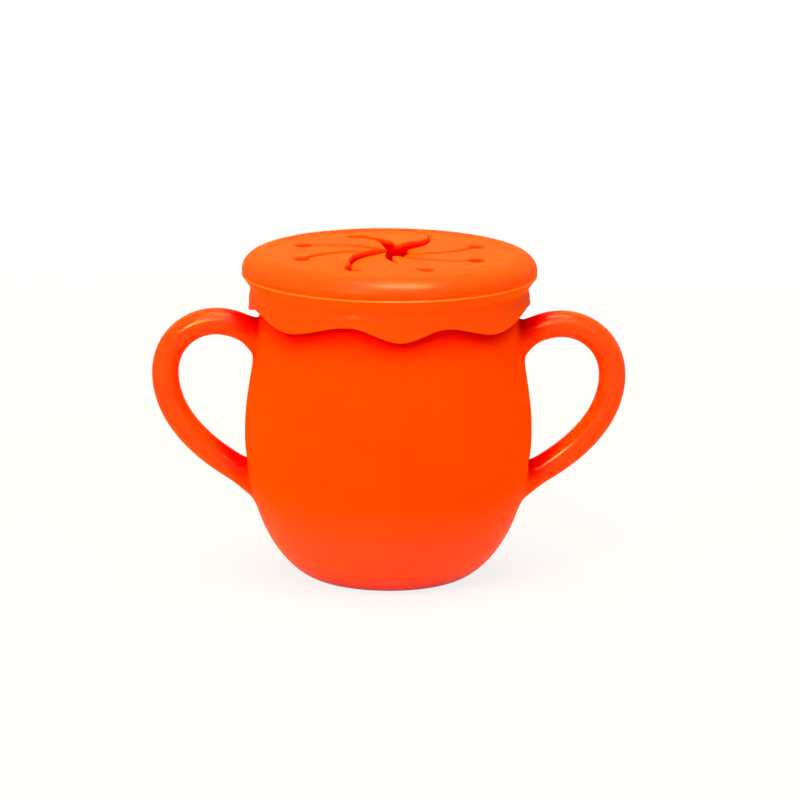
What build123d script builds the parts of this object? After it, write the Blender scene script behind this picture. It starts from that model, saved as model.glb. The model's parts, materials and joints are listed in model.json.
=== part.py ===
from build123d import *
import os
from math import cos, radians, sin

# Toddler training cup: a soft silicone honey pot with two loop handles and a lid
# that a small hand can reach through. Millimetres, +Z up, origin at the centre of
# the foot. The front is -Y and the two handles lie along X.

# Pot
foot_radius = 18.0
belly_radius = 44.0
belly_height = 46.5
neck_radius = 39.8
neck_length = 13.0
lip_height = 97.0
wall = 2.6
base_thickness = 3.5
shoulder_pull = 0.35

# Handles: heights are counted down from the foot of the rim, so the skirt stays clear
finger_room = 20.3
handle_thickness = 8.2
handle_depth = 9.2
handle_stand = 10.0
handle_drop = 10.35
upper_root_drop = 15.0
upper_root_slope = 34.0
upper_root_pull = 4.5
upper_top_pull = 5.0
lower_root_height = 32.5
lower_root_slope = 29.0
lower_root_pull = 15.5
lower_side_pull = 13.7
root_fillet = 2.0

# Lid
seat_clearance = 0.3
lip_clearance = 0.3
disc_lift = 2.3
disc_thickness = 1.6
rim_proud = 0.3
rim_round_height = 6.1
rim_round_width = 7.0
rim_overhang = 2.2
rim_undercut_height = 5.3
crease_width = 3.5
plug_wall = 1.6
plug_depth = 5.0
skirt_gap = 1.4
skirt_wall = 1.6
seat_flare = 1.2
skirt_edge_round = 0.5

# Petals and slits of the lid
petal_count = 8
first_slit_angle = 22.5
slit_turn = 80.0
slit_width = 1.0
relief_radius = 2.5
disc_border = 4.2
petal_tip_round = 1.5
hinge_clearance = 0.05

# The skirt hangs in drips. Each turning point of its lower edge is an angle round
# the lid, counted from the front towards +X, and a drop below the rim's undercut.
drip_edge = [
    (-98.0, 7.7), (-72.0, 4.5),
    (-46.5, 8.2), (-16.0, 4.2),
    (5.0, 8.4), (23.5, 4.7),
    (49.5, 8.2), (82.0, 3.7),
    (108.0, 8.2), (134.0, 4.5),
    (160.0, 8.1), (186.0, 4.4),
    (212.0, 8.2), (237.0, 4.5),
]

# Places that follow from the sizes above
neck_height = lip_height - neck_length
mouth_radius = neck_radius - wall
lid_seat = lip_height + seat_clearance
disc_underside = lid_seat + disc_lift
disc_top = disc_underside + disc_thickness
rim_top = disc_top + rim_proud
rim_widest = rim_top - rim_round_height
skirt_start = rim_widest - rim_undercut_height
seat_radius = neck_radius + lip_clearance
skirt_inner_radius = neck_radius + skirt_gap
skirt_radius = skirt_inner_radius + skirt_wall
rim_radius = skirt_radius + rim_overhang
rim_crest_radius = rim_radius - rim_round_width
crease_radius = rim_crest_radius - crease_width
plug_radius = mouth_radius - lip_clearance
plug_bore_radius = plug_radius - plug_wall
lip_round = 0.45 * wall
hem_round = min(skirt_edge_round, 0.4 * skirt_wall)
longest_drip = max(drop for angle, drop in drip_edge)
skirt_bottom = skirt_start - longest_drip - skirt_wall

petal_step = 360.0 / petal_count
slit_reach = plug_bore_radius - relief_radius - disc_border
slit_radius = slit_reach / (2 * sin(radians(slit_turn / 2)))
root_half_chord = slit_reach * sin(radians(petal_step / 2))
root_distance = slit_reach * cos(radians(petal_step / 2))
hinge_radius = disc_thickness / 2
hinge_height = disc_underside + hinge_radius

handle_reach = belly_radius + finger_room + handle_thickness / 2
handle_top = skirt_start - handle_drop
handle_top_x = skirt_radius + handle_stand
handle_bend_radius = handle_reach - handle_top_x
handle_side_height = handle_top - handle_bend_radius
upper_root = (neck_radius, skirt_start - upper_root_drop)
lower_root = (belly_radius, lower_root_height)
root_embed = 1.5 * handle_thickness


def step_from(point, angle, run):
    """The point a run away from another, at an angle in the plane of a sketch."""
    return (point[0] + run * cos(radians(angle)), point[1] + run * sin(radians(angle)))


def slit_heading(angle):
    """Direction in which a slit leaves the centre to end at the given angle."""
    return step_from((0, 0), angle - slit_turn / 2, 1)


def drip_curve(radius):
    """Points of the skirt's wavy edge on a cylinder, halfway points included."""
    points = []
    for (angle, drop), (next_angle, next_drop) in zip(drip_edge, drip_edge[1:] + drip_edge[:1]):
        gap = (next_angle - angle) % 360
        for turn, fall in ((angle, drop), (angle + gap / 2, (drop + next_drop) / 2)):
            across, along = step_from((0, 0), turn - 90, radius)
            points.append((across, along, skirt_start - fall))
    return points


# Pot: one revolved wall, a bowl below the belly and a soft shoulder up to the neck
shoulder = shoulder_pull * (neck_height - belly_height)

with BuildPart() as pot_form:
    with BuildSketch(Plane.XZ):
        with BuildLine():
            Polyline((0, lip_height), (0, 0), (foot_radius, 0))
            EllipticalCenterArc(
                (foot_radius, belly_height), belly_radius - foot_radius, belly_height, -90, arc_size=90
            )
            Bezier(
                (belly_radius, belly_height),
                (belly_radius, belly_height + shoulder),
                (neck_radius, neck_height - shoulder),
                (neck_radius, neck_height),
            )
            Polyline((neck_radius, neck_height), (neck_radius, lip_height), (0, lip_height))
        make_face()
    revolve(axis=Axis.Z)

with BuildPart() as cup_body:
    add(pot_form.part)
    with BuildSketch(Plane.XZ):
        with BuildLine():
            Polyline((0, lip_height), (0, base_thickness), (foot_radius, base_thickness))
            EllipticalCenterArc(
                (foot_radius, belly_height),
                belly_radius - wall - foot_radius,
                belly_height - base_thickness,
                -90,
                arc_size=90,
            )
            Bezier(
                (belly_radius - wall, belly_height),
                (belly_radius - wall, belly_height + shoulder),
                (mouth_radius, neck_height - shoulder),
                (mouth_radius, neck_height),
            )
            Polyline((mouth_radius, neck_height), (mouth_radius, lip_height), (0, lip_height))
        make_face()
    revolve(axis=Axis.Z, mode=Mode.SUBTRACT)
    lip_edges = cup_body.edges().filter_by(GeomType.CIRCLE).group_by(Axis.Z)[-1]
    fillet(lip_edges, lip_round)

# Handles: an oval section swept round the loop, widened by a flat fillet at both roots
with BuildPart() as right_handle:
    with BuildLine(Plane.XZ) as grip_path:
        Line(step_from(upper_root, upper_root_slope, -root_embed), upper_root)
        Bezier(
            upper_root,
            step_from(upper_root, upper_root_slope, upper_root_pull),
            (handle_top_x - upper_top_pull, handle_top),
            (handle_top_x, handle_top),
        )
        JernArc((handle_top_x, handle_top), (1, 0), handle_bend_radius, -90)
        Bezier(
            (handle_reach, handle_side_height),
            (handle_reach, handle_side_height - lower_side_pull),
            step_from(lower_root, lower_root_slope, lower_root_pull),
            lower_root,
        )
        Line(lower_root, step_from(lower_root, lower_root_slope, -root_embed))
    with BuildSketch(Plane(origin=grip_path.line @ 0, x_dir=(0, 1, 0), z_dir=grip_path.line % 0)):
        Ellipse(handle_depth / 2, handle_thickness / 2)
    sweep(path=grip_path.wires()[0])
    add(pot_form.part)
    chamfer(right_handle.edges(Select.NEW), root_fillet)
    add(pot_form.part, mode=Mode.SUBTRACT)

with BuildPart() as left_handle:
    add(mirror(right_handle.part, about=Plane.YZ, mode=Mode.PRIVATE))

# Lid: rim, disc, seat and plug ring turned in one profile about the axis
with BuildLine() as inner_drips:
    Spline(drip_curve(seat_radius), periodic=True)
with BuildLine() as outer_drips:
    Spline(drip_curve(rim_radius), periodic=True)
drip_cut = Face.make_surface_from_curves(inner_drips.edge(), outer_drips.edge())

with BuildPart() as lid:
    with BuildSketch(Plane.XZ):
        with BuildLine():
            EllipticalCenterArc(
                (rim_crest_radius, rim_widest), rim_round_width, rim_round_height, 0, arc_size=90
            )
            Bezier(
                (rim_crest_radius, rim_top),
                (rim_crest_radius - crease_width / 2, rim_top),
                (rim_crest_radius - crease_width / 2, disc_top),
                (crease_radius, disc_top),
            )
            Polyline(
                (crease_radius, disc_top),
                (0, disc_top),
                (0, disc_underside),
                (plug_bore_radius, disc_underside),
                (plug_bore_radius, disc_underside - plug_depth),
                (plug_radius, disc_underside - plug_depth),
                (plug_radius, lid_seat),
                (seat_radius, lid_seat),
                (seat_radius, skirt_start),
                (skirt_inner_radius, skirt_start - seat_flare),
                (skirt_inner_radius, skirt_bottom),
                (skirt_radius, skirt_bottom),
                (skirt_radius, skirt_start),
                (rim_radius, rim_widest),
            )
        make_face()
    revolve(axis=Axis.Z)
    split(bisect_by=drip_cut, keep=Keep.BOTTOM)
    hanging_edges = lid.edges().filter_by_position(Axis.Z, skirt_bottom, skirt_start - seat_flare)
    hem_edges = hanging_edges.filter_by(lambda edge: edge.length > skirt_radius)
    fillet(hem_edges, hem_round)
    with BuildSketch(Plane.XY.offset(disc_underside)):
        RegularPolygon(
            root_distance + hinge_radius + hinge_clearance,
            petal_count,
            major_radius=False,
            rotation=first_slit_angle,
        )
        with PolarLocations(slit_reach, petal_count, start_angle=first_slit_angle):
            Circle(relief_radius)
    extrude(amount=disc_thickness, mode=Mode.SUBTRACT)

# Petals: the first is cut between two neighbouring slits, the others are turned copies
with BuildPart() as first_petal:
    with BuildSketch(Plane.XY.offset(disc_underside)) as petal_outline:
        with BuildLine():
            near_slit = JernArc((0, 0), slit_heading(first_slit_angle), slit_radius, slit_turn)
            far_slit = JernArc((0, 0), slit_heading(first_slit_angle + petal_step), slit_radius, slit_turn)
            Line(near_slit @ 1, far_slit @ 1)
        make_face()
        trace([near_slit, far_slit], slit_width, mode=Mode.SUBTRACT)
        with Locations(near_slit @ 1, far_slit @ 1):
            Circle(relief_radius, mode=Mode.SUBTRACT)
        tip = petal_outline.vertices().sort_by_distance((0, 0, 0))[0]
        fillet(tip, petal_tip_round)
    extrude(amount=disc_thickness)
    root_start = Vector(*step_from((0, 0), first_slit_angle, slit_reach), hinge_height)
    root_end = Vector(*step_from((0, 0), first_slit_angle + petal_step, slit_reach), hinge_height)
    root_heading = (root_end - root_start).normalized()
    with BuildSketch(Plane(origin=root_start + root_heading * relief_radius, z_dir=root_heading)):
        Circle(hinge_radius)
    extrude(amount=2 * (root_half_chord - relief_radius))

cup_body.part.label = "cup_body"
left_handle.part.label = "left_handle"
right_handle.part.label = "right_handle"
lid.part.label = "lid"

os.makedirs("parts", exist_ok=True)
export_step(cup_body.part, "parts/cup_body.step")
export_step(left_handle.part, "parts/left_handle.step")
export_step(right_handle.part, "parts/right_handle.step")
export_step(lid.part, "parts/lid.step")
for index in range(petal_count):
    with BuildPart() as petal:
        with Locations(Location((0, 0, 0), (0, 0, index * petal_step))):
            add(first_petal.part)
    petal.part.label = f"petal_{index + 1}"
    export_step(petal.part, f"parts/petal_{index + 1}.step")
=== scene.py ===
import json
import math
import bpy
import bmesh
from mathutils import Matrix, Vector

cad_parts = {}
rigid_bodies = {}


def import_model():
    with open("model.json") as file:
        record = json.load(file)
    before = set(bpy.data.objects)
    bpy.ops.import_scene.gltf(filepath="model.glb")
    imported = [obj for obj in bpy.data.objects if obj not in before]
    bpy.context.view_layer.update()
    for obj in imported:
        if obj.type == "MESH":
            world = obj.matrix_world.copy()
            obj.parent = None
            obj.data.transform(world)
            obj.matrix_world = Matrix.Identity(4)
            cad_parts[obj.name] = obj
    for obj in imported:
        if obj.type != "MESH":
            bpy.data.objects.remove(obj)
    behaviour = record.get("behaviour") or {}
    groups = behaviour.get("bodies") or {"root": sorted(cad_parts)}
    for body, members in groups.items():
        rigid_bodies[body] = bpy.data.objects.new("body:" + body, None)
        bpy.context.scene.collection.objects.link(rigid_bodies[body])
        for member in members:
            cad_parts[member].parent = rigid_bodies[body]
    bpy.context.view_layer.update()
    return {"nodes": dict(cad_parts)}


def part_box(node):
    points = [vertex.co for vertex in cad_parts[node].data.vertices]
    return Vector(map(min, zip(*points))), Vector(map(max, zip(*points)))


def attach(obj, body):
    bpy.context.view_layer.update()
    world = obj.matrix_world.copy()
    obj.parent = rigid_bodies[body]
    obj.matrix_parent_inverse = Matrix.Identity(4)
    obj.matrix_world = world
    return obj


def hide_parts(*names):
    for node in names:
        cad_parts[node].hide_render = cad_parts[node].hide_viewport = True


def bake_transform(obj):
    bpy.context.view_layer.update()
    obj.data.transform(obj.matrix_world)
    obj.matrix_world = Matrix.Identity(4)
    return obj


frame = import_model()
mm = 0.001
touch = 0.01 * mm    # points nearer than this count as one place
potLow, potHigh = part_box("cup_body")
lidLow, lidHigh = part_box("lid")
petalLow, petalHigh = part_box("petal_1")
print("frame loaded:", len(frame["nodes"]), "nodes")

# A toddler's training cup: a round-bellied silicone pot with a loop handle on each
# side, and a lid whose disc is cut into eight soft petals. Metres, +Z up, front -Y.


def toLinear(hexColour):
    # sRGB hex to the linear colour that the shaders take
    channels = [int(hexColour[i:i + 2], 16) / 255 for i in (1, 3, 5)]
    linear = [c / 12.92 if c <= 0.04045 else ((c + 0.055) / 1.055) ** 2.4 for c in channels]
    return (*linear, 1.0)


def polar(radius, degrees, height=0.0):
    # a point by its distance and its direction from the Z axis
    angle = math.radians(degrees)
    return Vector((radius * math.cos(angle), radius * math.sin(angle), height))


def mix(a, b, share):
    return a * (1 - share) + b * share


def smoothStep(value):
    value = min(max(value, 0.0), 1.0)
    return value * value * (3 - 2 * value)


def bezierPoint(corners, share):
    # the point at a share of the way along a cubic curve
    p0, p1, p2, p3 = corners
    rest = 1 - share
    return p0 * rest ** 3 + p1 * (3 * rest ** 2 * share) + p2 * (3 * rest * share ** 2) + p3 * share ** 3


def clearSelection():
    if bpy.context.object and bpy.context.object.mode != "OBJECT":
        bpy.ops.object.mode_set(mode="OBJECT")
    bpy.ops.object.select_all(action="DESELECT")


def editMesh(piece, mode="VERT"):
    # edit mode with nothing selected, ready for the next choice
    clearSelection()
    piece.select_set(True)
    bpy.context.view_layer.objects.active = piece
    bpy.ops.object.mode_set(mode="EDIT")
    bpy.ops.mesh.select_mode(type=mode)
    bpy.ops.mesh.select_all(action="DESELECT")
    return bmesh.from_edit_mesh(piece.data)


def choose(piece, elements):
    # selects these vertices, edges or faces on top of what is selected
    for element in elements:
        element.select_set(True)
    bmesh.from_edit_mesh(piece.data).select_flush_mode()
    bmesh.update_edit_mesh(piece.data)


def outwardAndSmooth(piece, sharpAngle):
    editMesh(piece)
    bpy.ops.mesh.select_all(action="SELECT")
    bpy.ops.mesh.normals_make_consistent(inside=False)
    bpy.ops.object.mode_set(mode="OBJECT")
    bpy.ops.object.shade_smooth_by_angle(angle=math.radians(sharpAngle))


def turnProfile(name, sides, profile):
    # a ring at the profile's first point, extruded and scaled on to each next point
    radius, height = profile[0]
    clearSelection()
    bpy.ops.mesh.primitive_circle_add(vertices=sides, radius=radius, location=(0, 0, 0))
    piece = bpy.context.object
    piece.name = piece.data.name = name
    bpy.ops.object.mode_set(mode="EDIT")
    bpy.ops.mesh.select_all(action="SELECT")
    bpy.ops.transform.translate(value=(0, 0, height))
    for nextRadius, nextHeight in profile[1:]:
        bpy.ops.mesh.extrude_edges_move(TRANSFORM_OT_translate={"value": (0, 0, nextHeight - height)})
        growth = nextRadius / radius
        bpy.ops.transform.resize(value=(growth, growth, 1), center_override=(0, 0, nextHeight))
        radius, height = nextRadius, nextHeight
    bpy.ops.object.mode_set(mode="OBJECT")
    return piece


# Camera: the photograph's long lens, a little above the cup
cameraValues = {
    "distance": 2.2,
    "elevation": 12.23,
    "roll": 0.451,
    "lens": 323.6,
    "sensor": 36.0,
    "lookHeight": 50 * mm,
    "framePixels": 800,
    "lookPixel": (388.4, 417.2),
    "nearest": 0.1,
    "farthest": 20.0,
}


def addCamera(values):
    tilt = math.radians(values["elevation"])
    look = Vector((0, 0, values["lookHeight"]))
    place = look + Vector((0, -math.cos(tilt), math.sin(tilt))) * values["distance"]
    forward = (look - place).normalized()
    roll = Matrix.Rotation(-math.radians(values["roll"]), 3, forward)
    right = roll @ forward.cross(Vector((0, 0, 1))).normalized()
    up = right.cross(forward)
    # aimed a little past the cup's middle, which then stands where the photograph has it
    pixel = values["distance"] * values["sensor"] / (values["lens"] * values["framePixels"])
    middle = values["framePixels"] / 2
    column, row = values["lookPixel"]
    aim = look + right * (middle - column) * pixel + up * (row - middle) * pixel
    forward = (aim - place).normalized()
    up = (up - forward * up.dot(forward)).normalized()
    turn = Matrix((forward.cross(up), up, -forward)).transposed()
    bpy.ops.object.camera_add(location=place, rotation=turn.to_euler())
    camera = bpy.context.object
    camera.data.lens = values["lens"]
    camera.data.sensor_width = values["sensor"]
    camera.data.clip_start = values["nearest"]
    camera.data.clip_end = values["farthest"]
    bpy.context.scene.camera = camera


addCamera(cameraValues)
print("camera placed")


def addNode(tree, kind, settings=None, links=None):
    # one node: settings by property or socket name, links as (input, node, output)
    node = tree.nodes.new(kind)
    for key, value in (settings or {}).items():
        if isinstance(key, str) and hasattr(node, key):
            setattr(node, key, value)
        else:
            node.inputs[key].default_value = value
    for socket, source, output in links or []:
        tree.links.new(source.outputs[output], node.inputs[socket])
    return node


def newTree(name):
    material = bpy.data.materials.new(name)
    material.use_nodes = True
    material.node_tree.nodes.clear()
    return material, material.node_tree


# Silicone rubber pressed in a bead-blasted mould: an even satin skin with a faint
# grain, in a strong clean orange. It lets some red light through. Its folds, its inside
# and the wall under an overhang get a deep red painted shade in the base colour, so
# they are redder than its open faces.
siliconeValues = {
    "foldReach": 28 * mm,
    "foldSamples": 6,
    "overhangReach": 13 * mm,
    "overhangSamples": 8,
    "skyward": (0.001, 0, 1),
    "cloudSize": 30 * mm,
    "grainSize": 0.5 * mm,
    "grainDepth": 0.008 * mm,
    "waveSize": 9 * mm,
    "waveDepth": 0.04 * mm,
    "ior": 1.41,
    "roughness": (0.45, 0.55),
    "shineIor": 1.9,
    "handleStarts": (44 * mm, 49 * mm),
    "bowlEnds": (14 * mm, 36 * mm),
    "glowDepth": 2.5 * mm,
    "glowByColour": (1.0, 0.05, 0.025),
}


def addSilicone(name, values, own):
    material, tree = newTree(name)
    place = addNode(tree, "ShaderNodeTexCoord")
    apart = addNode(tree, "ShaderNodeSeparateXYZ", None, [("Vector", place, "Object")])
    clouds = addNode(tree, "ShaderNodeTexNoise", {"Scale": 1 / values["cloudSize"], "Detail": 3.0},
                     [("Vector", place, "Object")])
    skin = addNode(tree, "ShaderNodeMix",
                   {"data_type": "RGBA", 6: toLinear(own["orange"]), 7: toLinear(own["deepOrange"])},
                   [("Factor", clouds, "Fac")])
    if "paintedRidgeHighlight" in own:
        # the thin ridge that the mould's halves left round the rim gets a paler painted highlight
        atHeight = addNode(tree, "ShaderNodeMath",
                           {"operation": "COMPARE", 1: own["highlightHeight"], 2: own["highlightHalf"]},
                           [(0, apart, "Z")])
        level = addNode(tree, "ShaderNodeVectorMath", {"operation": "MULTIPLY", 1: (1, 1, 0)},
                        [(0, place, "Object")])
        reach = addNode(tree, "ShaderNodeVectorMath", {"operation": "LENGTH"}, [(0, level, 0)])
        outside = addNode(tree, "ShaderNodeMath", {"operation": "GREATER_THAN", 1: own["highlightRadius"]},
                          [(0, reach, "Value")])
        onRidge = addNode(tree, "ShaderNodeMath", {"operation": "MULTIPLY"},
                          [(0, atHeight, 0), (1, outside, 0)])
        skin = addNode(tree, "ShaderNodeMix", {"data_type": "RGBA", 7: toLinear(own["paintedRidgeHighlight"])},
                       [("Factor", onRidge, 0), (6, skin, 2)])
    # how open a point is, for the painted shade: past its own folds, and to the light from above past an
    # overhang.
    # A wall hides part of the light from above behind itself, which ownShare takes out: it
    # is half of one plus the cosine. The hair's lean in skyward keeps a face that looks
    # straight down from having no direction at all.
    folds = addNode(tree, "ShaderNodeAmbientOcclusion",
                    {"only_local": True, "samples": values["foldSamples"], "Distance": values["foldReach"]})
    surface = addNode(tree, "ShaderNodeNewGeometry")
    lean = addNode(tree, "ShaderNodeVectorMath", {"operation": "ADD", 1: values["skyward"]},
                   [(0, surface, "Normal")])
    skyward = addNode(tree, "ShaderNodeVectorMath", {"operation": "NORMALIZE"}, [(0, lean, 0)])
    above = addNode(tree, "ShaderNodeAmbientOcclusion",
                    {"samples": values["overhangSamples"], "Distance": values["overhangReach"]},
                    [("Normal", skyward, 0)])
    facing = addNode(tree, "ShaderNodeVectorMath", {"operation": "DOT_PRODUCT"},
                     [(0, surface, "Normal"), (1, skyward, 0)])
    ownShare = addNode(tree, "ShaderNodeMath", {"operation": "MULTIPLY_ADD", 1: 0.5, 2: 0.5},
                       [(0, facing, "Value")])
    sky = addNode(tree, "ShaderNodeMath", {"operation": "DIVIDE"}, [(0, above, "AO"), (1, ownShare, 0)])
    shades = []
    for source, output, ends in ((folds, "AO", own["foldShade"]), (sky, 0, own["overhangShade"])):
        shades.append(addNode(tree, "ShaderNodeMapRange",
                              {"interpolation_type": "SMOOTHSTEP", "From Min": ends[0], "From Max": ends[1]},
                              [("Value", source, output)]))
    shade = addNode(tree, "ShaderNodeMath", {"operation": "MULTIPLY"},
                    [(0, shades[0], "Result"), (1, shades[1], "Result")])
    # painted shade: the base colour turns to the dark red where a point is closed in
    colour = addNode(tree, "ShaderNodeMix", {"data_type": "RGBA", 6: toLinear(own["paintedShadeRed"])},
                     [("Factor", shade, 0), (7, skin, 2)])
    low, high = values["roughness"]
    roughness = addNode(tree, "ShaderNodeMapRange", {"To Min": low, "To Max": high},
                        [("Value", clouds, "Fac")])
    grain = addNode(tree, "ShaderNodeTexNoise", {"Scale": 1 / values["grainSize"], "Detail": 2.0},
                    [("Vector", place, "Object")])
    waves = addNode(tree, "ShaderNodeTexNoise", {"Scale": 1 / values["waveSize"], "Detail": 1.0},
                    [("Vector", place, "Object")])
    waveBump = addNode(tree, "ShaderNodeBump", {"Strength": 1.0, "Distance": values["waveDepth"]},
                       [("Height", waves, "Fac")])
    grainBump = addNode(tree, "ShaderNodeBump", {"Strength": 1.0, "Distance": values["grainDepth"]},
                        [("Height", grain, "Fac"), ("Normal", waveBump, "Normal")])
    shader = addNode(tree, "ShaderNodeBsdfPrincipled",
                     {"IOR": values["ior"], "Specular IOR Level": 0.0, "Coat IOR": values["shineIor"],
                      "Coat Weight": own["gloss"], "Coat Roughness": own["glossRoughness"],
                      "Subsurface Weight": 1.0, "Subsurface Scale": values["glowDepth"],
                      "Subsurface Radius": values["glowByColour"]},
                     [("Base Color", colour, 2), ("Roughness", roughness, "Result"),
                      ("Normal", grainBump, "Normal")])
    if "handleGloss" in own:
        # the mould is polished where it shapes the handles and the bowl, and matt round the belly
        aside = addNode(tree, "ShaderNodeMath", {"operation": "ABSOLUTE"}, [(0, apart, "X")])
        polish = []
        for source, output, (start, end), (near, far) in (
                (aside, 0, values["handleStarts"], (own["gloss"], own["handleGloss"])),
                (apart, "Z", values["bowlEnds"], (own["bowlGloss"], own["gloss"]))):
            polish.append(addNode(tree, "ShaderNodeMapRange",
                                  {"interpolation_type": "SMOOTHSTEP", "From Min": start, "From Max": end,
                                   "To Min": near, "To Max": far}, [("Value", source, output)]))
        gloss = addNode(tree, "ShaderNodeMath", {"operation": "MAXIMUM"},
                        [(0, polish[0], "Result"), (1, polish[1], "Result")])
        tree.links.new(gloss.outputs[0], shader.inputs["Coat Weight"])
    addNode(tree, "ShaderNodeOutputMaterial", None, [("Surface", shader, "BSDF")])
    return material


# The pot gets a painted red shade in any fold and under the lid's hem, and the thinner
# lid only deep in its slits and under its disc. The pale line round the lid's rim is a
# painted highlight on the parting ridge that its mould left.
potSkin = {"orange": "#FF4C00", "deepOrange": "#FF4600", "paintedShadeRed": "#D20600",
           "foldShade": (0.2, 0.5), "overhangShade": (0.68, 0.95),
           "gloss": 0.004, "handleGloss": 0.1, "bowlGloss": 0.15, "glossRoughness": 0.13}
# painted light: the lid's oranges are set a little lighter than the pot's so that its rim and top read
# brighter
lidSkin = {"orange": "#FF5100", "deepOrange": "#FF4B00", "paintedShadeRed": "#B40500",
           "foldShade": (0.05, 0.3), "overhangShade": (0.05, 0.35),
           "gloss": 0.07, "glossRoughness": 0.25,
           # painted highlight: the paler colour on the rim's parting ridge
           "paintedRidgeHighlight": "#FF7622", "highlightHeight": 94.86 * mm, "highlightHalf": 0.3 * mm, "highlightRadius": 44.5 * mm}
silicones = {
    "pot_silicone": addSilicone("siliconeRubberSatinPot", siliconeValues, potSkin),
    "lid_silicone": addSilicone("siliconeRubberSatinLid", siliconeValues, lidSkin),
}
print("materials made")


def dress(piece, body, slotName, *nodes):
    # the finished piece's silicone, its body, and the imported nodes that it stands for
    piece.data.materials.clear()
    piece.data.materials.append(silicones[slotName])
    if body:
        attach(piece, body)
    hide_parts(*nodes)


# The pot: foot, round belly, soft shoulder, straight neck and a full round lip, with
# the wall's inside. Heights of the rings leave square patches where the handles join.
potValues = {
    "sides": 64,
    "footRadius": 18 * mm,
    "footFlat": 17 * mm,
    "footInner": 9 * mm,
    "bellyRadius": potHigh[0],
    "bellyHeight": 46.5 * mm,
    "neckRadius": 39.8 * mm,
    "neckHeight": 84 * mm,
    "shoulderPull": 13.1 * mm,
    "lipHeight": potHigh[2],
    "wall": 2.6 * mm,
    "baseThickness": 3.5 * mm,
    "halvings": 24,
    "smoothing": 2,
    "sharpAngle": 180,
    "outsideHeights": (0.25, 1.0, 2.3, 4.0, 6.6, 9.8, 13.2, 16.4, 19.6, 23.6, 27.6, 31.6, 35.6, 39.6,
                       43.6, 48.5, 53.5, 58.5, 63.5, 67.9, 71.9, 75.9, 79.9, 83.9, 88.0, 92.0, 95.0),
    "insideHeights": (94.0, 90.0, 85.0, 79.0, 73.0, 66.0, 58.0, 50.0, 42.0, 34.0, 27.0, 21.0, 16.0,
                      11.8, 8.5, 6.2, 4.7, 3.8),
}

# The handles: an oval loop from the shoulder out and round to the bowl, with a soft
# fillet where each end grows out of the wall.
handleValues = {
    "halfDepth": 4.6 * mm,
    "halfThickness": 4.1 * mm,
    "upperRoot": (39.8 * mm, 75.1 * mm),
    "upperSlope": 34.0,
    "upperPull": 4.5 * mm,
    "topPull": 5.0 * mm,
    "topX": 52.8 * mm,
    "topRise": 4.65 * mm,
    "bendRadius": 15.6 * mm,
    "lowerRoot": (44 * mm, 32.5 * mm),
    "lowerSlope": 29.0,
    "lowerPull": 15.5 * mm,
    "sidePull": 13.7 * mm,
    "rootDepth": 5 * mm,
    "routeSteps": (12, 18, 40),
    "routeParts": 8,
    "upperJoin": 75.9 * mm,
    "lowerJoin": 31.6 * mm,
    "joinHalfWidth": 6.6 * mm,
    "upperJoinHalfHeight": 7.0 * mm,
    "lowerJoinHalfHeight": 7.3 * mm,
    "rowGap": 4 * mm,
    "ringSides": 16,
    "ringGap": 4.0 * mm,
    "filletRun": (0.9 * mm, 2.6 * mm),
    "filletFlare": 1.14,
    "filletShare": 0.5,
    "smoothingGain": 1.026,
}


def potRadius(height):
    # the pot's outside: quarter ellipse, then the shoulder's curve, then the neck
    values = potValues
    if height <= values["bellyHeight"]:
        fall = 1 - height / values["bellyHeight"]
        bulge = values["bellyRadius"] - values["footRadius"]
        return values["footRadius"] + bulge * math.sqrt(max(1 - fall ** 2, 0))
    if height >= values["neckHeight"]:
        return values["neckRadius"]
    belly, neck, pull = values["bellyHeight"], values["neckHeight"], values["shoulderPull"]
    heights = (belly, belly + pull, neck - pull, neck)
    radii = (values["bellyRadius"], values["bellyRadius"], values["neckRadius"], values["neckRadius"])
    low, high = 0.0, 1.0
    for halving in range(values["halvings"]):
        share = (low + high) / 2
        low, high = (share, high) if bezierPoint(heights, share) < height else (low, share)
    return bezierPoint(radii, share)


def potInside(height):
    # the wall's inside: a smaller bowl, and the same thickness all the way up from the belly
    values = potValues
    if height > values["bellyHeight"]:
        return potRadius(height) - values["wall"]
    fall = (values["bellyHeight"] - height) / (values["bellyHeight"] - values["baseThickness"])
    reach = values["bellyRadius"] - values["wall"] - values["footRadius"]
    return values["footRadius"] + reach * math.sqrt(max(1 - fall ** 2, 0))


def potProfile():
    # from the foot's middle up the outside, over the lip and down to the inside's floor
    values = potValues
    neck, mouth, lip = values["neckRadius"], values["neckRadius"] - values["wall"], values["lipHeight"]
    third = values["wall"] / 3
    foot = [(values["footInner"], 0.0), (values["footFlat"], 0.0)]
    outside = [(potRadius(height * mm), height * mm) for height in values["outsideHeights"]]
    round_ = [(neck, lip - third), (neck - third / 2, lip), (mouth + third / 2, lip), (mouth, lip - third)]
    inside = [(potInside(height * mm), height * mm) for height in values["insideHeights"]]
    floor = [(values["footFlat"], values["baseThickness"]), (values["footInner"], values["baseThickness"])]
    return foot + outside + round_ + inside + floor


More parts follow.
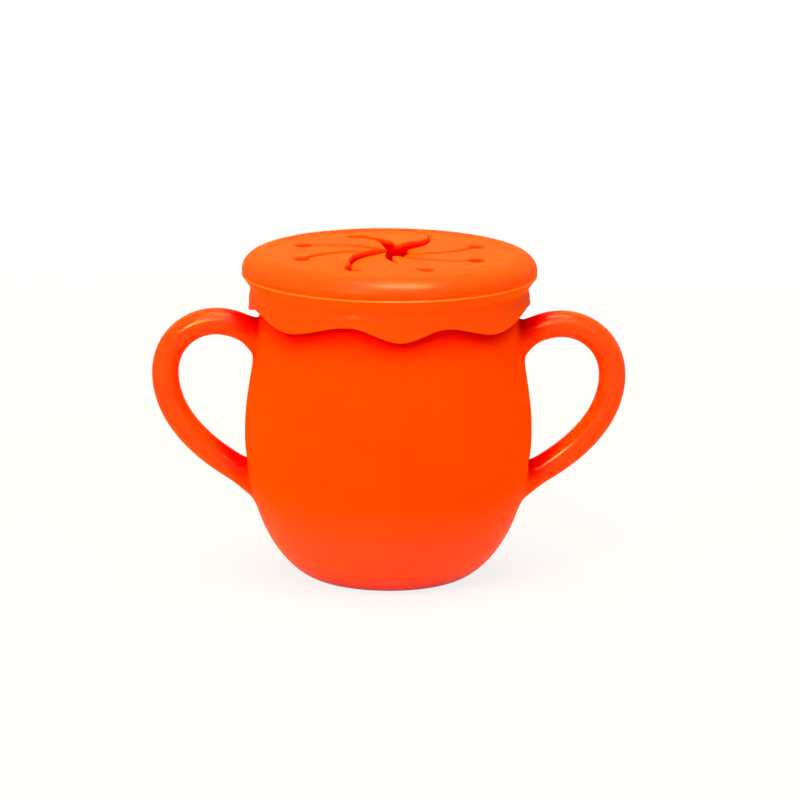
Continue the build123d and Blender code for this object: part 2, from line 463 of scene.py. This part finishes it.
def handleRoute():
    # the right loop's centre line in the XZ plane, from inside the shoulder to inside the bowl
    values = handleValues
    upper, lower = Vector(values["upperRoot"]), Vector(values["lowerRoot"])
    outSteps, bendSteps, backSteps = values["routeSteps"]
    top = upper.y + values["topRise"]
    side = values["topX"] + values["bendRadius"]
    upperWay, lowerWay = polar(1, values["upperSlope"]).xy, polar(1, values["lowerSlope"]).xy
    centre = Vector((values["topX"], top - values["bendRadius"]))
    outCurve = (upper, upper + upperWay * values["upperPull"],
                Vector((values["topX"] - values["topPull"], top)), Vector((values["topX"], top)))
    backCurve = (Vector((side, centre.y)), Vector((side, centre.y - values["sidePull"])),
                 lower + lowerWay * values["lowerPull"], lower)
    route = [upper - upperWay * values["rootDepth"]]
    route += [bezierPoint(outCurve, step / outSteps) for step in range(outSteps)]
    turns = (90 - 90 * step / bendSteps for step in range(bendSteps))
    route += [centre + polar(values["bendRadius"], turn).xy for turn in turns]
    route += [bezierPoint(backCurve, step / backSteps) for step in range(backSteps + 1)]
    route.append(lower - lowerWay * values["rootDepth"])
    return route


def alongRoute(route, distance):
    # the point and the direction at a distance along the route
    for start, end in zip(route, route[1:]):
        run = (end - start).length
        if distance <= run:
            return start.lerp(end, distance / run), (end - start).normalized()
        distance -= run
    return route[-1], (route[-1] - route[-2]).normalized()


def handleStations():
    # the loop's stretch outside the pot: distances of its rings along the route
    values = handleValues
    route = handleRoute()
    outside, travelled = [], 0.0
    for start, end in zip(route, route[1:]):
        for step in range(values["routeParts"]):
            share = step / values["routeParts"]
            point = start.lerp(end, share)
            if point.x > potRadius(point.y):
                outside.append(travelled + (end - start).length * share)
        travelled += (end - start).length
    near, far = outside[0] + values["filletRun"][1], outside[-1] - values["filletRun"][1]
    count = round((far - near) / values["ringGap"])
    return route, outside[0], [mix(near, far, step / count) for step in range(count + 1)], outside[-1]


def joinPoint(side, slot, height, halfHeight):
    # a point of the oval on the pot's wall where a handle joins it
    angle = 2 * math.pi * slot / handleValues["ringSides"]
    across = handleValues["joinHalfWidth"] * math.cos(angle)
    z = height + halfHeight * math.sin(angle)
    return Vector((side * math.sqrt(potRadius(z) ** 2 - across ** 2), across, z))


def ringPoint(side, slot, point, way, flare):
    # a point of the handle's oval section, turned to the route's direction
    angle = 2 * math.pi * slot / handleValues["ringSides"]
    flare = flare * handleValues["smoothingGain"]
    centre = Vector((point.x, 0, point.y))
    rise = Vector((-way.y, 0, way.x)) * handleValues["halfThickness"] * math.sin(angle) * flare
    place = centre + rise + Vector((0, handleValues["halfDepth"] * math.cos(angle) * flare, 0))
    return Vector((side * place.x, place.y, place.z))


def openWall(pot, side, height, halfHeight):
    # cuts the square patch of wall behind a join and rounds its edge to an oval
    rowGap, columnGap = handleValues["rowGap"], 2 * math.pi / potValues["sides"]
    edit = editMesh(pot, "FACE")
    patch = []
    for face in edit.faces:
        middle = face.calc_center_median()
        turn = abs(math.atan2(middle.y, middle.x * side))
        outer = math.hypot(middle.x, middle.y) > potRadius(middle.z) - potValues["wall"] / 2
        if outer and turn < 2 * columnGap and abs(middle.z - height) < 2 * rowGap:
            patch.append(face)
    choose(pot, patch)
    bpy.ops.mesh.delete(type="FACE")
    edit = editMesh(pot)
    slotOf = edit.verts.layers.int.get("ringSlot") or edit.verts.layers.int.new("ringSlot")
    rim = [v for v in edit.verts
           if v.is_boundary and v.co.x * side > 0 and abs(v.co.z - height) < 3 * rowGap]
    for vert in rim:
        column = math.atan2(vert.co.y, vert.co.x * side) / columnGap
        row = (vert.co.z - height) / rowGap
        angle = math.atan2(row, column)
        vert[slotOf] = round(angle / (2 * math.pi) * handleValues["ringSides"]) % handleValues["ringSides"]
        vert.co = joinPoint(side, vert[slotOf], height, halfHeight)
    bmesh.update_edit_mesh(pot.data)


def growHandle(pot, side):
    # extrudes the upper opening's edge ring by ring round the loop, and bridges it to the lower one
    values = handleValues
    upper = (values["upperJoin"], values["upperJoinHalfHeight"])
    lower = (values["lowerJoin"], values["lowerJoinHalfHeight"])
    for join in (upper, lower):
        openWall(pot, side, *join)
    route, leaving, distances, arriving = handleStations()
    edit = editMesh(pot)
    upperHalf = (values["upperJoin"] + values["lowerJoin"]) / 2
    choose(pot, [v for v in edit.verts if v.is_boundary and v.co.x * side > 0 and v.co.z > upperHalf])
    # each ring's distance, its growth, and how far it is drawn to the upper or lower wall
    firstRun, flare, share = values["filletRun"][0], values["filletFlare"], values["filletShare"]
    rings = [(leaving + firstRun, flare, share)]
    rings += [(distance, 1.0, 0.0) for distance in distances]
    rings += [(arriving - firstRun, flare, -share)]
    for distance, grow, towardsWall in rings:
        bpy.ops.mesh.extrude_edges_move()
        point, way = alongRoute(route, distance)
        edit = bmesh.from_edit_mesh(pot.data)
        slotOf = edit.verts.layers.int["ringSlot"]
        for vert in edit.verts:
            if not vert.select:
                continue
            slot = vert[slotOf]
            place = ringPoint(side, slot, point, way, grow)
            if towardsWall > 0:
                place = place.lerp(joinPoint(side, slot, *upper), towardsWall)
            if towardsWall < 0:
                place = place.lerp(joinPoint(side, -slot, *lower), -towardsWall)
            vert.co = place
        bmesh.update_edit_mesh(pot.data)
    edit = bmesh.from_edit_mesh(pot.data)
    choose(pot, [v for v in edit.verts if v.is_boundary and v.co.x * side > 0])
    bpy.ops.mesh.bridge_edge_loops()


def makePot():
    # turned shell, closed at its middle, with both handles grown from it, then smoothed
    pot = turnProfile("pot_shell", potValues["sides"], potProfile())
    editMesh(pot, "EDGE")
    bpy.ops.mesh.select_non_manifold(extend=False)
    bpy.ops.mesh.fill_holes(sides=0)
    for side in (1, -1):
        growHandle(pot, side)
    outwardAndSmooth(pot, potValues["sharpAngle"])
    pot.data.attributes.remove(pot.data.attributes["ringSlot"])
    bpy.ops.object.modifier_add(type="SUBSURF")
    pot.modifiers[-1].levels = pot.modifiers[-1].render_levels = potValues["smoothing"]
    bpy.ops.object.modifier_apply(modifier=pot.modifiers[-1].name)
    dress(pot, "pot", "pot_silicone", "cup_body", "left_handle", "right_handle")
    return pot


cup = makePot()
print("pot and handles made")


# The lid: a fat round rim, a skirt that hangs in honey drips, and inside it the seat
# that rests on the lip and the plug ring that enters the mouth.
lidValues = {
    "sides": 256,
    "discRadius": 34.5 * mm,
    "discUnderside": petalLow[2],
    "discTop": petalHigh[2],
    "rimTop": lidHigh[2],
    "rimCrestRadius": 38.0 * mm,
    "rimRadius": lidHigh[0],
    "widestHeight": 96.2 * mm,
    "partingHeight": 94.5 * mm,
    "creaseDip": 0.2 * mm,
    "partingInset": 0.35 * mm,
    "partingProud": 0.35 * mm,
    "partingThick": 0.6 * mm,
    "partingFlat": (0.4, 0.16),
    "partingUnder": 0.02 * mm,
    "skirtStart": 90.1 * mm,
    "skirtRadius": 42.8 * mm,
    "skirtInner": 41.2 * mm,
    "waist": 0.35 * mm,
    "waistEnd": 2.2,
    "seatRadius": 40.1 * mm,
    "seatHeight": 97.3 * mm,
    "plugRadius": 36.9 * mm,
    "plugBore": 35.3 * mm,
    "plugEnd": 94.6 * mm,
    "plugChamfer": 0.4 * mm,
    "innerEdge": 1.4 * mm,
    "hemRound": 0.62 * mm,
    "hemFlare": 0.2 * mm,
    "middleDrop": 8.0 * mm,
    "drips": ((-98.0, 7.7), (-72.0, 4.5), (-46.5, 8.2), (-16.0, 4.2), (5.0, 8.4), (23.5, 4.7),
              (49.5, 8.2), (82.0, 3.7), (108.0, 8.2), (134.0, 4.5), (160.0, 8.1), (186.0, 4.4),
              (212.0, 8.2), (237.0, 4.5)),
    "creaseSteps": 8,
    "rimSteps": 18,
    "undercutSteps": 10,
    "skirtSteps": 16,
    "hemSteps": 6,
    "sharpAngle": 40,
}


def dripDrop(turn):
    # how far the hem hangs below the skirt's start, by the angle from the front towards +X
    drips = lidValues["drips"]
    for (angle, drop), (nextAngle, nextDrop) in zip(drips, drips[1:] + drips[:1]):
        gap = (nextAngle - angle) % 360
        past = (turn - angle) % 360
        if past < gap:
            return mix(drop, nextDrop, smoothStep(past / gap)) * mm
    return drips[0][1] * mm


def lidProfile():
    # from under the disc's edge over the rim, down the skirt and back up inside it
    values = lidValues
    profile = [(values["discRadius"], values["discUnderside"])]

    def addCurve(radii, heights, steps):
        for step in range(steps + 1):
            profile.append((bezierPoint(radii, step / steps), bezierPoint(heights, step / steps)))

    disc, crest = values["discRadius"], values["rimCrestRadius"]
    top, rimTop = values["discTop"], values["rimTop"]
    half = (disc + crest) / 2
    addCurve((disc, half, half, crest), (top, top - values["creaseDip"] * 2, rimTop, rimTop),
             values["creaseSteps"])
    rim, widest, parting = values["rimRadius"], values["widestHeight"], values["partingHeight"]
    width, rise = rim - crest, rimTop - widest
    for step in range(1, values["rimSteps"] + 1):
        turn = polar(1, 90 - 90 * step / values["rimSteps"])
        profile.append((crest + width * turn.x, widest + rise * turn.y))
    # below its widest ring the rim turns in to the mould's parting ridge
    under, thick = rim - values["partingInset"], values["partingThick"]
    for share in (0.25, 0.5, 0.75):
        profile.append((mix(rim, under, share ** 2), mix(widest, parting + thick, share)))
    proud = under + values["partingProud"]
    flatTop, flatUnder = (parting + thick * share for share in values["partingFlat"])
    profile += [(under, parting + thick), (proud, flatTop), (proud, flatUnder),
                (under - values["partingUnder"], parting)]
    # the undercut swings in to a waist, and the skirt falls from it
    start, skirt, waist = values["skirtStart"], values["skirtRadius"], values["waist"]
    addCurve((under - 0.06 * mm, under - 0.6 * mm, skirt - waist, skirt - waist),
             (parting - 0.1 * mm, parting - 1.9 * mm, start + 2.0 * mm, start + 0.2 * mm),
             values["undercutSteps"])
    drop, roundness = values["middleDrop"], values["hemRound"]
    for step in range(1, values["skirtSteps"]):
        share = step / values["skirtSteps"]
        # the waist eases out in the skirt's upper half, and the hem flares in its last fifth
        pinch = waist * (1 - smoothStep(share * values["waistEnd"]))
        flare = values["hemFlare"] * smoothStep(share * 5 - 4)
        profile.append((skirt - pinch + flare, start - (drop - roundness) * share))
    # the hem turns under in two quarter rounds
    inner, hemHeight = values["skirtInner"], start - drop + roundness
    outerMiddle, innerMiddle = skirt + values["hemFlare"] - roundness, inner + roundness
    for middle, firstTurn in ((outerMiddle, 0), (innerMiddle, 90)):
        for step in range(values["hemSteps"] + 1):
            turn = polar(roundness, -firstTurn - 90 * step / values["hemSteps"])
            profile.append((middle + turn.x, hemHeight + turn.y))
    for share in (0.25, 0.5, 0.75, 1.0):
        profile.append((inner, start - mix(drop - roundness, values["innerEdge"], share)))
    seat, seatHeight, underside = values["seatRadius"], values["seatHeight"], values["discUnderside"]
    plug, bore = values["plugRadius"], values["plugBore"]
    plugEnd, chamfer = values["plugEnd"], values["plugChamfer"]
    profile += [(seat, start), (seat, seatHeight), (plug, seatHeight), (plug, plugEnd + chamfer),
                (plug - chamfer, plugEnd), (bore + chamfer, plugEnd), (bore, plugEnd + chamfer),
                (bore, underside), (disc, underside)]
    return profile


def hangDrips(lid):
    # pulls the level skirt down or up to the hem's wave, and keeps the hem's round section
    values = lidValues
    start, drop = values["skirtStart"], values["middleDrop"]
    straight = drop - 2 * values["hemRound"]
    for vert in lid.data.vertices:
        fall = start - vert.co.z
        if fall <= 0:
            continue
        turn = math.degrees(math.atan2(vert.co.x, -vert.co.y))
        change = dripDrop(turn) - drop
        vert.co.z -= change * min(fall / straight, 1)


def makeLid():
    lid = turnProfile("lid_shell", lidValues["sides"], lidProfile())
    editMesh(lid)
    bpy.ops.mesh.select_all(action="SELECT")
    bpy.ops.mesh.remove_doubles(threshold=touch / 10)
    bpy.ops.object.mode_set(mode="OBJECT")
    hangDrips(lid)
    outwardAndSmooth(lid, lidValues["sharpAngle"])
    dress(lid, "lid", "lid_silicone", "lid")


makeLid()
print("lid made")


# The petals: eight curved slits swirl out from a star-shaped hole, and each ends in a
# round relief hole. A petal runs out to the rim's crease, so its root shows no seam.
petalValues = {
    "count": 8,
    "firstSlit": 22.5,
    "slitTurn": 80.0,
    "slitReach": 28.6 * mm,
    "slitGap": 0.5 * mm,
    "reliefRadius": 2.5 * mm,
    "rootDistance": 26.4 * mm,
    "bendHalf": 1.8 * mm,
    "topRound": 0.7 * mm,
    "underRound": 0.3 * mm,
    "liftStart": 33.5 * mm,
    "liftRun": 8 * mm,
    "drawStart": 22 * mm,
    "drawRun": 10 * mm,
    "holeStep": 0.6 * mm,
    "slitStep": 1.0 * mm,
    "tipStep": 0.4 * mm,
    "holeTurn": 40,
    "roundSteps": (5, 2),
    "insetEdge": 0.2 * mm,
    "bendCuts": range(2, 34),
    "curlCuts": range(-14, 15, 2),
    "sharpAngle": 35,
}

# How each soft petal has settled, in mm: the tip's rounding, its lift, the lift of the
# edges along its two slits, and how far the first edge has drawn back from its slit.
petalSettings = (
    {"round": 3.0, "tip": 0.1, "near": 0.4, "far": 0.5, "inset": 0.0},
    {"round": 2.2, "tip": 1.7, "near": 1.6, "far": 0.6, "inset": 0.0},
    {"round": 1.4, "tip": 0.4, "near": 0.0, "far": 0.4, "inset": 2.4},
    {"round": 1.8, "tip": 0.2, "near": 0.0, "far": 0.5, "inset": 0.0},
    {"round": 1.2, "tip": 0.2, "near": 0.0, "far": 1.8, "inset": 0.0},
    {"round": 1.4, "tip": 0.4, "near": -0.3, "far": 0.5, "inset": 0.0},
    {"round": 2.4, "tip": 0.0, "near": 0.1, "far": 0.0, "inset": 1.6},
    {"round": 3.0, "tip": 0.0, "near": 0.4, "far": 0.0, "inset": 0.0},
)


def circleCross(centreA, radiusA, centreB, radiusB, near):
    # the crossing of two circles that lies nearer to a given point
    between = centreB - centreA
    gap = between.length
    along = (gap ** 2 + radiusA ** 2 - radiusB ** 2) / (2 * gap)
    aside = math.sqrt(max(radiusA ** 2 - along ** 2, 0))
    way = between / gap
    foot = centreA + way * along
    across = Vector((-way.y, way.x, 0)) * aside
    return min((foot + across, foot - across), key=lambda point: (point - near).length)


def arcPoints(centre, start, end, clockwise, step):
    # points round a centre from start to end, both included
    radius = (start - centre).length
    first = math.atan2(start.y - centre.y, start.x - centre.x)
    last = math.atan2(end.y - centre.y, end.x - centre.x)
    sweep = -((first - last) % (2 * math.pi)) if clockwise else (last - first) % (2 * math.pi)
    count = max(2, round(abs(sweep) * radius / step))
    return [centre + polar(radius, math.degrees(first + sweep * i / count)) for i in range(count + 1)]


def slitArcs():
    # the first petal's edges along its two slits, as centre and radius
    values = petalValues
    near, far = values["firstSlit"], values["firstSlit"] + 360 / values["count"]
    bend = values["slitReach"] / (2 * math.sin(math.radians(values["slitTurn"] / 2)))
    lean, half = 90 - values["slitTurn"] / 2, values["slitGap"] / 2
    return (polar(bend, near + lean), bend - half), (polar(bend, far + lean), bend + half)


def petalOutline(tipRound):
    # outline of the first petal, counter-clockwise from the near slit's end of the disc's edge
    values = petalValues
    near, step = values["firstSlit"], 360 / values["count"]
    reach, relief, aside = values["slitReach"], values["reliefRadius"], values["holeTurn"]
    far = near + step
    (nearCentre, nearRadius), (farCentre, farRadius) = slitArcs()
    nearHole, farHole = polar(reach, near), polar(reach, far)
    tip = circleCross(nearCentre, nearRadius - tipRound, farCentre, farRadius + tipRound, Vector((0, 0, 0)))
    tipNear = nearCentre + (tip - nearCentre).normalized() * nearRadius
    tipFar = farCentre + (tip - farCentre).normalized() * farRadius
    nearMeet = circleCross(nearCentre, nearRadius, nearHole, relief, nearHole - polar(relief, near + aside))
    farMeet = circleCross(farCentre, farRadius, farHole, relief, farHole - polar(relief, far + aside))
    segments = lidValues["sides"] // values["count"]
    points = [polar(lidValues["discRadius"], near + step * i / segments) for i in range(segments + 1)]
    points += arcPoints(farHole, polar(reach + relief, far), farMeet, True, values["holeStep"])
    points += arcPoints(farCentre, farMeet, tipFar, True, values["slitStep"])[1:]
    points += arcPoints(tip, tipFar, tipNear, False, values["tipStep"])[1:]
    points += arcPoints(nearCentre, tipNear, nearMeet, False, values["slitStep"])[1:]
    points += arcPoints(nearHole, nearMeet, polar(reach + relief, near), True, values["holeStep"])[1:]
    return points


def onSeam(place):
    # true on the disc's outer edge and on the short lines from it to the relief holes
    values = petalValues
    reach = math.hypot(place.x, place.y)
    if reach < values["slitReach"] + values["reliefRadius"] - touch:
        return False
    turn = math.degrees(math.atan2(place.y, place.x)) - values["firstSlit"]
    aside = min(abs(turn), abs(turn - 360 / values["count"]))
    return reach > lidValues["discRadius"] - 5 * touch or math.radians(aside) * reach < 2 * touch


def cutFlatPetal(tipRound):
    # the first petal, flat: its outline given the disc's thickness, with rounded cut edges
    values = petalValues
    outline = petalOutline(tipRound)
    clearSelection()
    bpy.ops.mesh.primitive_circle_add(vertices=len(outline), radius=lidValues["discRadius"],
                                      fill_type="NGON")
    petal = bpy.context.object
    top, under = lidValues["discTop"], lidValues["discUnderside"]
    ordered = list(petal.data.polygons[0].vertices)
    if petal.data.polygons[0].normal.z < 0:
        ordered.reverse()
    for index, place in zip(ordered, outline):
        petal.data.vertices[index].co = (place.x, place.y, top)
    editMesh(petal)
    bpy.ops.mesh.select_all(action="SELECT")
    bpy.ops.mesh.extrude_region_move(TRANSFORM_OT_translate={"value": (0, 0, under - top)})
    bpy.ops.mesh.select_all(action="SELECT")
    bpy.ops.mesh.normals_make_consistent(inside=False)
    topSteps, underSteps = values["roundSteps"]
    rounds = ((top, values["topRound"], topSteps), (under, values["underRound"], underSteps))
    for height, roundness, steps in rounds:
        edit = editMesh(petal, "EDGE")
        edges = []
        for edge in edit.edges:
            a, b = (v.co for v in edge.verts)
            level = abs(a.z - height) < touch and abs(b.z - height) < touch
            if level and not (onSeam(a) and onSeam(b)):
                edges.append(edge)
        choose(petal, edges)
        bpy.ops.mesh.bevel(offset=roundness, offset_type="OFFSET", segments=steps, profile=0.5,
                           clamp_overlap=False)
    for height in (top, under):
        edit = editMesh(petal, "FACE")
        flat = [f for f in edit.faces if all(abs(v.co.z - height) < touch for v in f.verts)]
        choose(petal, [max(flat, key=lambda f: f.calc_area())])
        bpy.ops.mesh.inset(thickness=values["insetEdge"], depth=0)
    # cuts across and along the petal, at millimetres from the middle, let it bend and curl
    axisWay = polar(1, values["firstSlit"] + 180 / values["count"])
    sideWay = Vector((-axisWay.y, axisWay.x, 0))
    editMesh(petal)
    cuts = [(axisWay, distance) for distance in values["bendCuts"]]
    cuts += [(sideWay, distance) for distance in values["curlCuts"]]
    for way, distance in cuts:
        bpy.ops.mesh.select_all(action="SELECT")
        bpy.ops.mesh.bisect(plane_co=way * distance * mm, plane_no=way)
    bpy.ops.object.mode_set(mode="OBJECT")
    return petal


def settle(petal, settings):
    # lifts the tip and the two long edges of a flat petal, and draws its near edge back
    values = petalValues
    (nearCentre, nearRadius), (farCentre, farRadius) = slitArcs()
    lift = {key: settings[key] * mm for key in ("tip", "near", "far", "inset")}
    for vert in petal.data.vertices:
        flat = Vector((vert.co.x, vert.co.y, 0))
        reach = flat.length
        nearGap = max(nearRadius - (flat - nearCentre).length, 0)
        farGap = max((flat - farCentre).length - farRadius, 0)
        towardsFar = nearGap / max(nearGap + farGap, touch)
        edgeRun = smoothStep((values["liftStart"] - reach) / values["liftRun"])
        tipRun = smoothStep(1 - reach / values["rootDistance"])
        edges = lift["near"] * (1 - towardsFar) ** 2 + lift["far"] * towardsFar ** 2
        vert.co.z += lift["tip"] * tipRun + edges * edgeRun
        drawRun = smoothStep((values["drawStart"] - reach) / values["drawRun"])
        vert.co += (nearCentre - flat).normalized() * lift["inset"] * drawRun * (1 - towardsFar) ** 2


def makePetals():
    # each petal is cut flat, settles in its own way, and is turned round to its place
    values = petalValues
    step = 360 / values["count"]
    for index, settings in enumerate(petalSettings):
        petal = cutFlatPetal(settings["round"] * mm)
        petal.name = petal.data.name = f"petal_skin_{index + 1}"
        settle(petal, settings)
        petal.data.transform(Matrix.Rotation(math.radians(step * index), 4, "Z"))
        outwardAndSmooth(petal, values["sharpAngle"])
        node = f"petal_{index + 1}"
        dress(petal, None, "lid_silicone", node)
        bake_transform(petal)


makePetals()
print("petals made")


# Studio: a white sweep, and soft warm light mostly from above and from the front left.
# A lamp with shineOn lights nothing but the shine of that one piece.
studioValues = {
    "fill": 0.06,
    "floorSize": 8.0,
    "floorColour": "#ECEAE8",
    "whiteShare": (0.85, 1.0),
    "whiteRadii": (0.12, 0.7),
    "lampTarget": (0, 0, 50 * mm),
    "glowHeight": 55 * mm,
    "glowSize": 25 * mm,
    "glowColour": "#FF1000",
    "glowPower": 0.045,
}
lampValues = {
    "topBox": {"place": (0.0, 0.1, 1.3), "size": 0.7, "power": 14.0, "colour": "#FFE2B8"},
    "highBox": {"place": (0.0, -0.7, 1.2), "size": 1.2, "power": 18.0, "colour": "#FFE2B8"},
    "keyBox": {"place": (-0.66, -1.16, 0.78), "size": 0.3, "power": 16.0, "colour": "#FFD278"},
    "fillBox": {"place": (0.62, -1.2, 0.78), "size": 0.15, "power": 2.0, "colour": "#FFD278"},
    "rimShine": {"place": (0.15, -0.34, 1.3), "size": 0.7, "power": 65.0, "colour": "#FFD278",
                 "shineOn": "lid_shell"},
    "handleShine": {"place": (-0.4, -1.15, 0.78), "size": 0.7, "power": 62.0, "colour": "#FFC050",
                    "shineOn": "pot_shell"},
}


def seenDirectly(tree):
    # 1 for what the camera, a reflection or a clear material sees
    path = addNode(tree, "ShaderNodeLightPath")
    reflected = addNode(tree, "ShaderNodeMath", {"operation": "MAXIMUM"},
                        [(0, path, "Is Camera Ray"), (1, path, "Is Glossy Ray")])
    return addNode(tree, "ShaderNodeMath", {"operation": "MAXIMUM"},
                   [(0, reflected, 0), (1, path, "Is Transmission Ray")])


def addBackdrop(values):
    world = bpy.data.worlds.new("whiteStudio")
    bpy.context.scene.world = world
    world.use_nodes = True
    tree = world.node_tree
    tree.nodes.clear()
    fill = addNode(tree, "ShaderNodeBackground", {"Color": (1, 1, 1, 1), "Strength": values["fill"]})
    white = addNode(tree, "ShaderNodeBackground", {"Color": (1, 1, 1, 1), "Strength": 1.0})
    blend = addNode(tree, "ShaderNodeMixShader", None,
                    [(0, seenDirectly(tree), 0), (1, fill, 0), (2, white, 0)])
    addNode(tree, "ShaderNodeOutputWorld", None, [("Surface", blend, 0)])


def addFloor(values):
    # near the cup the paper takes its shadow, and further out it fades to the white backdrop
    clearSelection()
    bpy.ops.mesh.primitive_plane_add(size=values["floorSize"], location=(0, 0, 0))
    floor = bpy.context.object
    floor.name = "studio_floor"
    material, tree = newTree("paperSweep")
    place = addNode(tree, "ShaderNodeTexCoord")
    reach = addNode(tree, "ShaderNodeVectorMath", {"operation": "LENGTH"}, [(0, place, "Object")])
    inner, outer = values["whiteRadii"]
    low, high = values["whiteShare"]
    fade = addNode(tree, "ShaderNodeMapRange",
                   {"interpolation_type": "SMOOTHSTEP", "From Min": inner, "From Max": outer,
                    "To Min": low, "To Max": high}, [("Value", reach, "Value")])
    share = addNode(tree, "ShaderNodeMath", {"operation": "MULTIPLY"},
                    [(0, seenDirectly(tree), 0), (1, fade, "Result")])
    paper = addNode(tree, "ShaderNodeBsdfDiffuse", {"Color": toLinear(values["floorColour"])})
    white = addNode(tree, "ShaderNodeEmission", {"Color": (1, 1, 1, 1), "Strength": 1.0})
    blend = addNode(tree, "ShaderNodeMixShader", None, [(0, share, 0), (1, paper, 0), (2, white, 0)])
    addNode(tree, "ShaderNodeOutputMaterial", None, [("Surface", blend, 0)])
    floor.data.materials.append(material)


def lightOnly(lamp, piece):
    # keeps a lamp's light to one piece
    lamp.light_linking.receiver_collection = bpy.data.collections.new(lamp.name + "Lights")
    lamp.light_linking.receiver_collection.objects.link(piece)


def addLamps(lamps):
    target = Vector(studioValues["lampTarget"])
    for name, values in lamps.items():
        place = Vector(values["place"])
        turn = (target - place).to_track_quat("-Z", "Y").to_euler()
        bpy.ops.object.light_add(type="AREA", location=place, rotation=turn)
        lamp = bpy.context.object
        lamp.name = name
        lamp.data.shape = "DISK"
        lamp.data.size = values["size"]
        lamp.data.energy = values["power"]
        lamp.data.color = toLinear(values["colour"])[:3]
        if "shineOn" in values:
            lamp.visible_diffuse = False
            lightOnly(lamp, bpy.data.objects[values["shineOn"]])


def addInnerGlow(values, pot):
    # daylight comes through the rubber's walls and fills the cup with red: a faint red lamp in it
    bpy.ops.object.light_add(type="POINT", location=(0, 0, values["glowHeight"]))
    glow = bpy.context.object
    glow.name = "innerGlow"
    glow.data.shadow_soft_size = values["glowSize"]
    glow.data.color = toLinear(values["glowColour"])[:3]
    glow.data.energy = values["glowPower"]
    glow.visible_camera = False
    lightOnly(glow, pot)


addBackdrop(studioValues)
addFloor(studioValues)
addLamps(lampValues)
addInnerGlow(studioValues, cup)
bpy.context.scene.view_settings.view_transform = "Standard"
print("studio lit")
